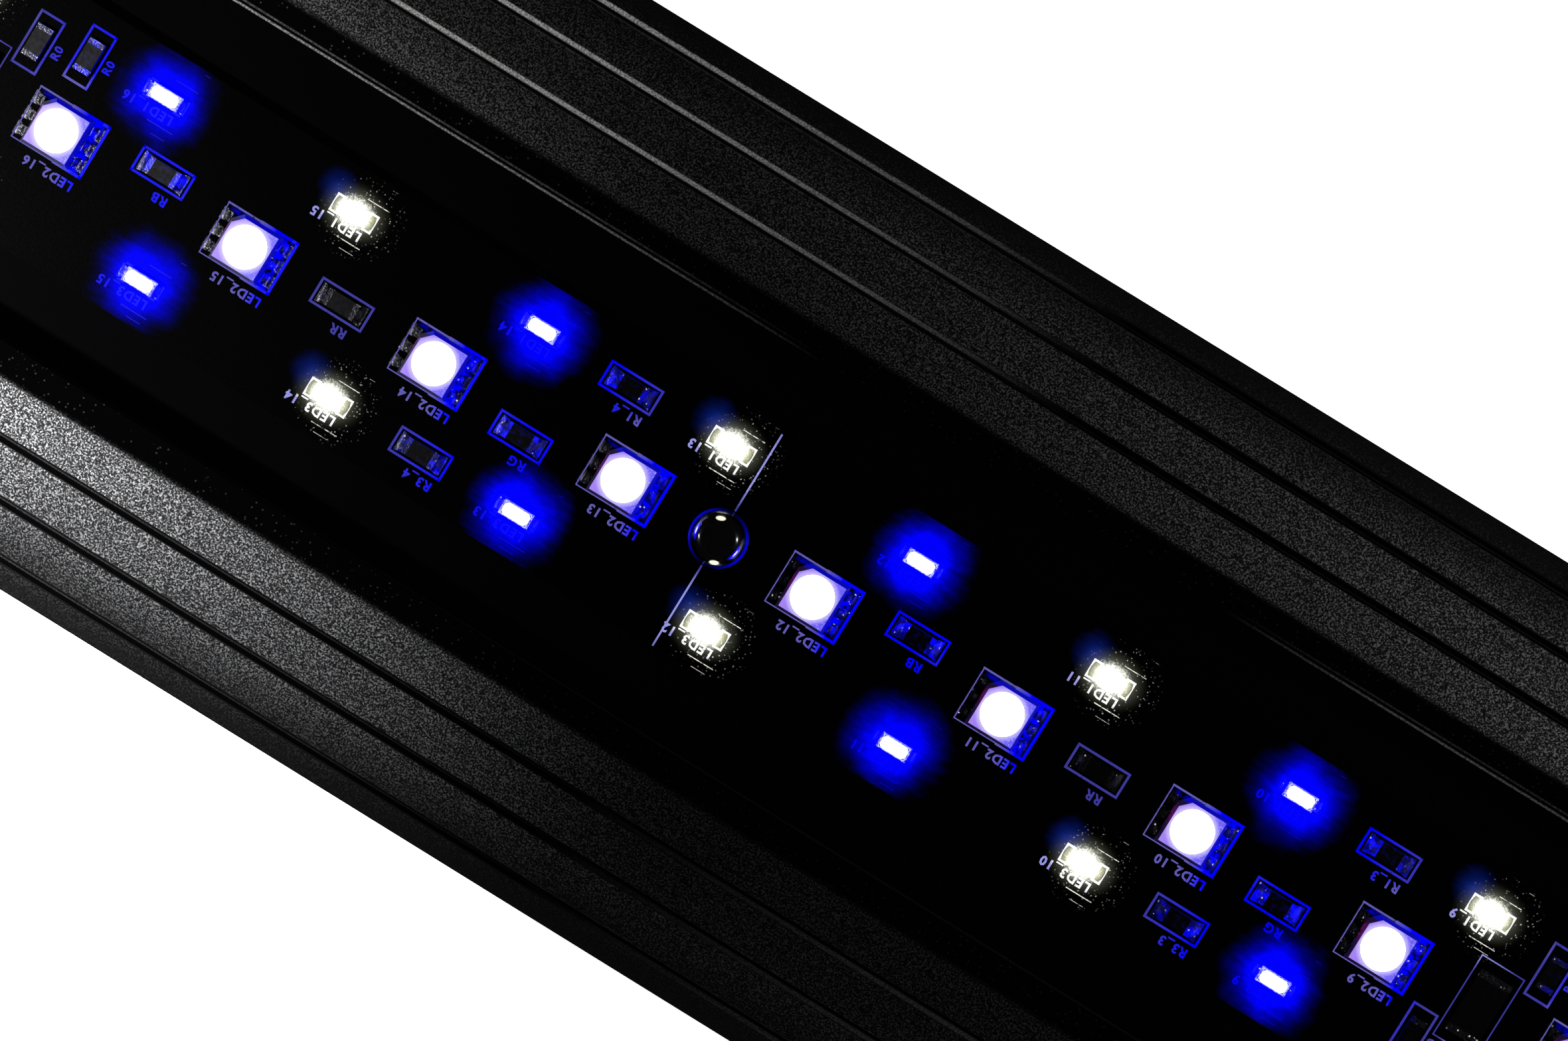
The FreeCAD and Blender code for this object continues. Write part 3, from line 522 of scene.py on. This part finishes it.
def chip_glaze():
    """Black glazed resistors, with blue light along their edges."""
    finish = Finish("chip_glaze")
    glow = Glow(finish)
    grain = finish.noise(0.5 * MM, 3.0)
    by_blue = falloff(glow.to_blue, *BLUE_REACH)
    foot = falloff(glow.up, 0.3 * MM, 0.5 * MM)
    faint = by_blue * (foot * 0.7 + rise(grain, 0.5, 0.7) * 0.05)
    finish.set(Base_Color=(0.002, 0.002, 0.003), Roughness=0.22 + grain * 0.15,
               Emission_Color=finish.tinted(faint, (0.0, 0.0, 0.8)),
               Emission_Strength=1.0, Specular_IOR_Level=0.3)
    return finish.bumped(grain, 0.02 * MM, 0.5).material


def clear_acrylic():
    """A thin clear cover: almost nothing but a faint gloss, with a slight wave."""
    finish = Finish("clear_acrylic")
    wave = finish.noise(14 * MM, 2.0)
    gloss = finish.node("ShaderNodeBsdfGlossy", {}, {"Color": (1, 1, 1, 1), "Roughness": 0.03})
    bump = finish.node("ShaderNodeBump", {}, {"Height": wave, "Distance": 0.3 * MM,
                                              "Strength": 0.4})
    finish.feed(gloss.socket.node.inputs["Normal"], bump)
    clear = finish.node("ShaderNodeBsdfTransparent", {}, {"Color": (1, 1, 1, 1)})
    facing = finish.node("ShaderNodeLayerWeight", {}, {"Blend": 0.5}, out=1)
    both = finish.node("ShaderNodeMixShader", {}, [facing ** 5.0 * 0.5 + 0.008, clear, gloss])
    finish.tree.links.new(both.socket, finish.output.inputs["Surface"])
    return finish.material


def plastic(name, colour, rough, grain_size, depth):
    """Moulded plastic with a fine grain."""
    finish = Finish(name)
    grain = finish.noise(grain_size, 3.0, 0.6)
    patch = finish.noise(grain_size * 40, 2.0)
    light = tuple(min(1.0, part * 1.6 + 0.004) for part in colour)
    finish.set(Base_Color=finish.blend(patch * 0.5, colour, light),
               Roughness=rough + grain * 0.12)
    return finish.bumped(grain, depth, 0.6).material


def silicone(name, colour):
    """Soft rubbery surface with a slight bloom."""
    finish = Finish(name)
    grain = finish.noise(0.12 * MM, 3.0)
    bloom = finish.noise(5 * MM, 3.0, 0.6)
    paler = tuple(part * 1.8 + 0.006 for part in colour)
    finish.set(Base_Color=finish.blend(bloom, colour, paler), Roughness=0.62 + grain * 0.15)
    return finish.bumped(grain, 0.01 * MM, 0.5).material


def polished_steel():
    """Drawn stainless rod: bright, with fine lines along it."""
    finish = Finish("polished_steel")
    lines = finish.noise(0.5 * MM, 4.0, 0.7, finish.stretched(0.04, 1.0, 1.0))
    smear = finish.noise(12 * MM, 3.0, 0.6)
    finish.set(Base_Color=finish.blend(smear, (0.56, 0.57, 0.58), (0.68, 0.69, 0.70)),
               Metallic=1.0, Roughness=0.14 + lines * 0.14 + smear * 0.06)
    return finish.bumped(lines, 0.004 * MM, 0.6).material


def metal(name, dark, bright, rough):
    """Plated or turned metal with faint unevenness."""
    finish = Finish(name)
    grain = finish.noise(0.4 * MM, 3.0, 0.6)
    finish.set(Base_Color=finish.blend(grain, dark, bright), Metallic=1.0,
               Roughness=rough + grain * 0.14)
    return finish.bumped(grain, 0.006 * MM, 0.5).material


# Radii on the board screws' heads of the painted blue ring and of the painted lamp reflections at
# their sides.
SCREW_RIM = (2.45 * MM, 2.58 * MM)
SCREW_TOP = 2.08 * MM


def black_screw(ring=False):
    """Black glossy screw heads; on those on the board the lamps' reflections are painted as
    emission: a blue ring round the rim, blue arcs with white middles at the sides and warm
    highlights towards the white lamps.
    """
    finish = Finish("board_screw" if ring else "black_screw")
    grain = finish.noise(0.5 * MM, 3.0, 0.6)
    finish.set(Base_Color=finish.blend(grain, (0.10, 0.10, 0.11), (0.16, 0.16, 0.17)),
               Metallic=1.0, Roughness=0.10 + grain * 0.08)
    if ring:
        x, y = finish.axes()[:2]
        u = finish.wrapped(x, 0.0, SCREWS[-1])
        radius = length(u, y)
        # Painted reflections of the lamps on the domed head.
        rim = rise(radius, *SCREW_RIM) * falloff(y.absolute(), 1.0 * MM, 2.7 * MM)
        arc = (radius - SCREW_TOP) * 4.5
        beside = rise(u.absolute(), 0.9 * MM, 1.2 * MM)
        blue = falloff(length(arc, y + 0.3 * MM), 0.6 * MM, 0.9 * MM) * beside
        white = falloff(length(arc * 1.4, y + 0.3 * MM), 0.22 * MM, 0.42 * MM) * beside
        outward = u * -0.385 + y * 0.923
        around = u * 0.923 + y * 0.385
        lamp = (outward + 0.15 * MM).absolute() - 2.02 * MM
        warm = falloff(length(around, lamp * 2.2), 0.38 * MM, 0.50 * MM)
        light = finish.summed(finish.tinted(rim * 0.5 + blue * 0.9, (0.003, 0.003, 1.0)),
                              finish.tinted(white, (1.0, 0.9, 0.95)))
        light = finish.summed(light, finish.tinted(warm, (1.0, 1.0, 0.78)))
        finish.set(Emission_Color=light, Emission_Strength=1.0)
    return finish.bumped(grain, 0.004 * MM, 0.4).material


def pale_floor():
    """Almost white, and faintly bright of itself so that it stays pale in the dim room."""
    finish = Finish("pale_floor")
    grain = finish.noise(30 * MM, 3.0)
    finish.set(Base_Color=finish.blend(grain, (0.88, 0.88, 0.88), (0.90, 0.90, 0.90)),
               Roughness=0.8, Emission_Color=WHITE, Emission_Strength=0.98)
    return finish.material


# ---------------------------------------------------------------- mesh helpers
def finish_piece(name, shape, material, body="fixture"):
    """Turns a bmesh into a piece that rides on a body and belongs to a material slot."""
    mesh = bpy.data.meshes.new(name)
    bmesh.ops.recalc_face_normals(shape, faces=shape.faces)
    shape.to_mesh(mesh)
    shape.free()
    mesh.materials.append(material)
    piece = bpy.data.objects.new(name, mesh)
    bpy.context.scene.collection.objects.link(piece)
    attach(piece, body)


def add_bar(shape, start, end, width, low, high):
    """A flat bar of ink or copper from start to end, lying on the board."""
    along = (end - start).normalized()
    side = Vector((-along.y, along.x, 0)) * (width / 2)
    ends = along * (width / 2)
    outline = [start - ends - side, end + ends - side, end + ends + side, start - ends + side]
    bottom = [shape.verts.new((p.x, p.y, low)) for p in outline]
    top = [shape.verts.new((p.x, p.y, high)) for p in outline]
    shape.faces.new(bottom[::-1])
    shape.faces.new(top)
    for index in range(4):
        after = (index + 1) % 4
        shape.faces.new((bottom[index], bottom[after], top[after], top[index]))


INK_LOW = BOARD_TOP
INK_HIGH = BOARD_TOP + 0.03 * MM
COPPER_HIGH = BOARD_TOP + 0.015 * MM
LETTER_HEIGHT = 0.88 * MM
# What turns the height of a printed capital into the size and the weight of the letters.
LETTER_SIZE = 1.4
LETTER_WEIGHT = 0.045


def add_line(shape, points, width):
    """A printed line through the points."""
    for start, end in zip(points, points[1:]):
        add_bar(shape, Vector((*start, 0)), Vector((*end, 0)), width, INK_LOW, INK_HIGH)


def add_outline(shape, x, y, low, high, width):
    """A printed rectangle round a part at x, y; low and high are its corners, seen from there."""
    corners = [(low[0], low[1]), (high[0], low[1]), (high[0], high[1]), (low[0], high[1])]
    corners.append(corners[0])
    add_line(shape, [(x + a, y + b) for a, b in corners], width)


def add_brackets(shape, x, y, half_long, half_wide, arm, width):
    """A pair of printed square brackets round a small LED."""
    for side in (-1, 1):
        outer = x + side * half_long
        inner = x + side * (half_long - arm)
        add_line(shape, [(inner, y - half_wide), (outer, y - half_wide),
                         (outer, y + half_wide), (inner, y + half_wide)], width)


def add_words(shape, words, x, y, height, quarter_turns=2):
    """Printed letters centred on x, y, turned by quarter turns."""
    curve = bpy.data.curves.new("letters", "FONT")
    curve.body = words
    curve.size = height * LETTER_SIZE
    curve.align_x = "CENTER"
    curve.align_y = "CENTER"
    curve.offset = height * LETTER_WEIGHT
    curve.space_character = 1.15
    curve.resolution_u = 2
    curve.extrude = (INK_HIGH - INK_LOW) / 2
    holder = bpy.data.objects.new("letters", curve)
    bpy.context.scene.collection.objects.link(holder)
    bpy.context.view_layer.update()
    mesh = bpy.data.meshes.new_from_object(holder)
    mesh.transform(Matrix.Translation((x, y, (INK_LOW + INK_HIGH) / 2))
                   @ Matrix.Rotation(quarter_turns * math.pi / 2, 4, "Z"))
    shape.from_mesh(mesh)
    bpy.data.objects.remove(holder)
    bpy.data.curves.remove(curve)
    bpy.data.meshes.remove(mesh)


# ---------------------------------------------------------------- what is printed on the board
def print_outlines():
    """Printed outlines round every part, and the lines that divide the board."""
    shape = bmesh.new()
    for number, x, y in middle_leds():
        left, right, low, high = x - 3.5 * MM, x + 3.74 * MM, y - 2.6 * MM, y + 2.66 * MM
        turn = x + 1.0 * MM
        add_line(shape, [(left, high), (left, low), (turn, low)], 0.11 * MM)
        add_line(shape, [(left, high), (x, high)], 0.18 * MM)
        add_line(shape, [(x, high), (right, high), (right, low), (turn, low)], 0.28 * MM)
    for row, number, x, y in side_leds():
        add_brackets(shape, x, y, half_long=2.1 * MM, half_wide=0.82 * MM, arm=0.75 * MM,
                     width=0.2 * MM)
    for x, y, upright, mark in small_chips():
        half = (1.2 * MM, 2.66 * MM) if upright else (2.66 * MM, 1.2 * MM)
        add_outline(shape, x, y, (-half[0], -half[1]), half, width=0.22 * MM)
    for border in BORDERS:
        add_outline(shape, border * MM, 0, (-2.0 * MM, -4.2 * MM), (2.4 * MM, 4.2 * MM),
                    width=0.12 * MM)
    for x in SCREWS:
        for start, end in ((-11.3, -2.95), (2.95, 10.9)):
            add_line(shape, [(x, start * MM), (x, end * MM)], 0.17 * MM)
    finish_piece("printed_outlines", shape, ink)


def print_marks():
    """Short part marks; they read from the other side of the board."""
    shape = bmesh.new()
    for number, x, y in middle_leds():
        add_words(shape, "LED2_%d" % number, x + 1.05 * MM, y - 3.72 * MM, LETTER_HEIGHT)
    for row, number, x, y in side_leds():
        add_words(shape, "LED%d_%d" % (row, number), x - 0.95 * MM, y - 1.6 * MM, LETTER_HEIGHT)
    for x, y, upright, mark in small_chips():
        if upright:
            add_words(shape, mark, x + 2.0 * MM, y, LETTER_HEIGHT * 0.9, 1)
        else:
            add_words(shape, mark, x + 0.95 * MM, y - 2.2 * MM, LETTER_HEIGHT)
    finish_piece("printed_marks", shape, ink)


# Each line by a small LED, in millimetres: how far across the board from the LED's middle it
# lies, where it starts and ends along the board, and its width.
COPPER_EDGES = ((1.8, 0.2, 2.4, 0.08), (-2.62, -0.4, 2.2, 0.09),
                (-3.4, 0.5, 1.9, 0.06), (3.5, 2.2, 2.7, 0.06))


def etch_lines():
    """Thin edges of the copper that runs along the board under the mask."""
    shape = bmesh.new()
    dice = random.Random(4)
    for row, number, x, y in side_leds():
        for across, start, end, width in COPPER_EDGES:
            slide = dice.uniform(-0.3, 0.3)
            level = y + (across + dice.uniform(-0.1, 0.1)) * MM
            add_bar(shape, Vector((x + (start + slide) * MM, level, 0)),
                    Vector((x + (end + slide) * MM, level, 0)), width * MM, INK_LOW, COPPER_HIGH)
    finish_piece("etched_lines", shape, glint)


# ---------------------------------------------------------------- solder
FILLET_ROWS = 6
FILLET_COLUMNS = 7
FILLET_EDGE = 0.02 * MM


def add_fillet(shape, x, y, width, reach, climb, dice):
    """A small lump of solder: highest at x, where a lead stands, and thin at x + reach."""
    rows, columns = FILLET_ROWS, FILLET_COLUMNS
    grid = []
    for row in range(rows + 1):
        line = []
        for column in range(columns + 1):
            along = row / rows
            across = column / columns * 2 - 1
            bulge = 1 - abs(across) ** 2.4
            height = climb * (1 - along) ** 1.8 * bulge * dice.uniform(0.9, 1.1)
            spread = width / 2 * (1 + 0.15 * along)
            line.append((x + reach * along, y + spread * across,
                         BOARD_TOP + max(height, FILLET_EDGE)))
        grid.append(line)
    top = [[shape.verts.new(p) for p in line] for line in grid]
    low = [[shape.verts.new((p[0], p[1], BOARD_TOP)) for p in line] for line in grid]
    for row in range(rows):
        for column in range(columns):
            for layer in (top, low):
                shape.faces.new((layer[row][column], layer[row + 1][column],
                                 layer[row + 1][column + 1], layer[row][column + 1]))
    rim = ([(0, c) for c in range(columns + 1)] + [(r, columns) for r in range(1, rows + 1)]
           + [(rows, c) for c in range(columns - 1, -1, -1)]
           + [(r, 0) for r in range(rows - 1, 0, -1)])
    for (r1, c1), (r2, c2) in zip(rim, rim[1:] + rim[:1]):
        shape.faces.new((low[r1][c1], low[r2][c2], top[r2][c2], top[r1][c1]))


def solder_everything():
    """Solder at every lead and chip end."""
    shape = bmesh.new()
    dice = random.Random(11)
    sides = (-1, 1)
    for number, x, y in middle_leds():
        for side in sides:
            for lead in (-1.6, 0, 1.6):
                add_fillet(shape, x + side * 2.75 * MM, y + lead * MM, width=1.1 * MM,
                           reach=side * 0.9 * MM, climb=0.42 * MM, dice=dice)
    for row, number, x, y in side_leds():
        for side in sides:
            add_fillet(shape, x + side * 1.8 * MM, y, width=1.2 * MM,
                       reach=side * 0.4 * MM, climb=0.28 * MM, dice=dice)
    for x, y, upright, mark in small_chips():
        if not upright:
            for side in sides:
                add_fillet(shape, x + side * 1.6 * MM, y, width=1.7 * MM,
                           reach=side * 0.75 * MM, climb=0.5 * MM, dice=dice)
    finish_piece("solder_joints", shape, tin)


# ---------------------------------------------------------------- finishes on the CAD parts
def dress(name, material, bevel=0.0, segments=2, angle=30):
    """Gives a CAD part its finish; a bevel softens its edges that are sharper than the angle."""
    part = nodes[name]
    part.data.materials.clear()
    part.data.materials.append(material)
    if bevel:
        soften = part.modifiers.new("soft_edges", "BEVEL")
        soften.width = bevel
        soften.segments = segments
        soften.limit_method = "ANGLE"
        soften.angle_limit = math.radians(angle)
        soften.harden_normals = False


powder_coat = black_powder_coat()
mask = solder_mask()
ink = printed_ink()
glint = etched_glint()
tin = tinned_metal()
glaze = chip_glaze()
screw = black_screw()
steel = polished_steel()
cap_plastic = plastic("cap_plastic", (0.010, 0.010, 0.011), 0.42, 0.35 * MM, 0.03 * MM)
gasket = silicone("gasket_silicone", (0.012, 0.012, 0.013))
white_package = small_package("white_package", (1.0, 1.0, 0.92), (0.55, 0.55, 0.25),
                              half_long=1.55 * MM, half_wide=0.75 * MM)
blue_package = small_package("blue_package", (0.95, 0.97, 1.0), BLUE,
                             half_long=1.31 * MM, half_wide=0.60 * MM)

dress("housing", powder_coat, bevel=0.18 * MM, segments=2, angle=25)
dress("cover_lens", clear_acrylic())
dress("cover_seals", silicone("cover_seal", (0.008, 0.008, 0.009)))
dress("thermal_pad", silicone("thermal_pad_grey", (0.16, 0.18, 0.21)))
dress("circuit_board", mask)
dress("board_screws", black_screw(ring=True))
dress("colour_led_packages", colour_package())
dress("colour_led_windows", lit_window("colour_window", WHITE, (0.95, 0.95, 1.0),
                                       strength=9.0))
dress("colour_led_leads", tin)
dress("white_led_packages", white_package)
dress("white_led_windows", lit_window("white_window", (1.0, 0.99, 0.88), (1.0, 0.97, 0.8),
                                      strength=12.0))
dress("blue_led_packages", blue_package)
dress("blue_led_windows", lit_window("blue_window", (0.80, 0.86, 1.0), (0.7, 0.75, 1.0),
                                     strength=5.0, rounded=True))
dress("side_led_tabs", tin)
dress("resistor_bodies", glaze)
dress("resistor_ends", tin)
dress("jumper_bodies", glaze)
dress("jumper_ends", tin)
dress("board_connector", plastic("connector_plastic", (0.35, 0.34, 0.30), 0.4, 0.2 * MM,
                                 0.01 * MM))
dress("connector_pins", tin)
dress("wire_red", plastic("red_insulation", (0.35, 0.012, 0.008), 0.35, 0.3 * MM, 0.01 * MM))
dress("wire_black", plastic("black_insulation", (0.008, 0.008, 0.008), 0.35, 0.3 * MM, 0.01 * MM))
dress("socket_body", plastic("socket_plastic", (0.009, 0.009, 0.010), 0.28, 0.3 * MM, 0.01 * MM),
      bevel=0.25 * MM, segments=3, angle=40)
dress("socket_sleeve", metal("plated_contact", (0.5, 0.5, 0.5), (0.7, 0.7, 0.7), 0.18))
dress("socket_pin", metal("brass_pin", (0.55, 0.38, 0.14), (0.78, 0.58, 0.26), 0.2))
dress("socket_seal", gasket)
dress("socket_tails", tin)
bush_nylon = plastic("bush_nylon", (0.42, 0.41, 0.37), 0.4, 0.25 * MM, 0.01 * MM)
block_nylon = plastic("block_nylon", (0.03, 0.03, 0.03), 0.45, 0.25 * MM, 0.01 * MM)
foot_rubber = silicone("foot_rubber", (0.018, 0.018, 0.019))
for side in ("left", "right"):
    dress("end_cap_" + side, cap_plastic, bevel=0.7 * MM, segments=4, angle=20)
    dress("end_gasket_" + side, gasket)
    dress("cap_screws_" + side, screw)
    dress("guide_bushes_" + side, bush_nylon, bevel=0.2 * MM, segments=2, angle=40)
    dress("bracket_" + side, steel)
    dress("slider_blocks_" + side, block_nylon)
    dress("foot_sleeve_" + side, foot_rubber, bevel=0.5 * MM, segments=3, angle=40)

print_outlines()
print_marks()
etch_lines()
solder_everything()


# ---------------------------------------------------------------- floor, light and camera
FLOOR_REACH = 6.0


def lay_floor():
    """A wide plain floor at the level of the object's lowest point."""
    shape = bmesh.new()
    near, far = -FLOOR_REACH, FLOOR_REACH
    corners = [(near, near), (far, near), (far, far), (near, far)]
    shape.faces.new([shape.verts.new((x, y, cad_box[0][2])) for x, y in corners])
    mesh = bpy.data.meshes.new("floor")
    shape.to_mesh(mesh)
    shape.free()
    mesh.materials.append(pale_floor())
    floor = bpy.data.objects.new("floor", mesh)
    bpy.context.scene.collection.objects.link(floor)


def add_lamp(name, lamp, place, target):
    """Hangs a lamp at a place and turns it towards the target."""
    thing = bpy.data.objects.new(name, lamp)
    bpy.context.scene.collection.objects.link(thing)
    thing.location = place
    thing.rotation_euler = (Vector(target) - Vector(place)).to_track_quat("-Z", "Y").to_euler()


def add_softbox(name, place, target, width, height, power):
    """A wide soft light; its power is in watts."""
    lamp = bpy.data.lights.new(name, "AREA")
    lamp.shape = "RECTANGLE"
    lamp.size = width
    lamp.size_y = height
    lamp.energy = power
    add_lamp(name, lamp, place, target)


def add_beam(name, place, target, angle, power, radius):
    """A narrow beam, so many degrees wide, from a lamp of a given radius."""
    lamp = bpy.data.lights.new(name, "SPOT")
    lamp.spot_size = math.radians(angle)
    lamp.spot_blend = 1.0
    lamp.energy = power
    lamp.shadow_soft_size = radius
    add_lamp(name, lamp, place, target)


ROOM_LIGHT = 0.01
BACKDROP_LIGHT = 0.95


def light_studio():
    """Long soft lights off both ends, narrow beams that graze the flanks, and a dim room."""
    middle = (0, 0, 0)
    add_softbox("left_softbox", (-1.5, 0.1, 0.30), middle, width=1.4, height=0.5, power=1.6)
    add_softbox("right_softbox", (1.5, -0.1, 0.30), middle, width=1.4, height=0.5, power=1.6)
    add_beam("front_flank_beam", (-0.25, -0.125, 0.30), (-0.10, -0.042, 0.01),
             angle=26.5, power=14, radius=0.012)
    add_beam("rear_flank_beam", (0.26, 0.13, 0.33), (0.06, 0.060, 0.01),
             angle=27, power=0.95, radius=0.02)
    world = bpy.data.worlds.new("dim_room")
    bpy.context.scene.world = world
    world.use_nodes = True
    tree = world.node_tree
    back = tree.nodes["Background"]
    back.inputs["Color"].default_value = (*WHITE, 1)
    seen = tree.nodes.new("ShaderNodeLightPath")
    level = tree.nodes.new("ShaderNodeMapRange")
    level.inputs["To Min"].default_value = ROOM_LIGHT
    level.inputs["To Max"].default_value = BACKDROP_LIGHT
    tree.links.new(seen.outputs["Is Camera Ray"], level.inputs["Value"])
    tree.links.new(level.outputs["Result"], back.inputs["Strength"])


SENSOR = 36.0
LENS = 122.0
ROLL = math.radians(31.6)
LOOKS_AT = Vector((4.2 * MM, 4.5 * MM, 7 * MM))
LOOKS_FROM = Vector((0.0199, 0.0494, 0.9986))
DISTANCE = 477.5 * MM


def place_camera():
    """Almost straight above the board, with the light's length running down to the right."""
    away = LOOKS_FROM.normalized()
    up_hint = Vector((-math.sin(ROLL), math.cos(ROLL), 0))
    right = up_hint.cross(away).normalized()
    up = away.cross(right)
    turn = Matrix((right, up, away)).transposed().to_4x4()
    data = bpy.data.cameras.new("camera")
    data.sensor_width = SENSOR
    data.lens = LENS
    data.clip_start = 0.01
    data.clip_end = 50
    camera = bpy.data.objects.new("camera", data)
    camera.matrix_world = Matrix.Translation(LOOKS_AT + away * DISTANCE) @ turn
    bpy.context.scene.collection.objects.link(camera)
    bpy.context.scene.camera = camera


lay_floor()
light_studio()
place_camera()
bpy.context.scene.view_settings.view_transform = "Standard"
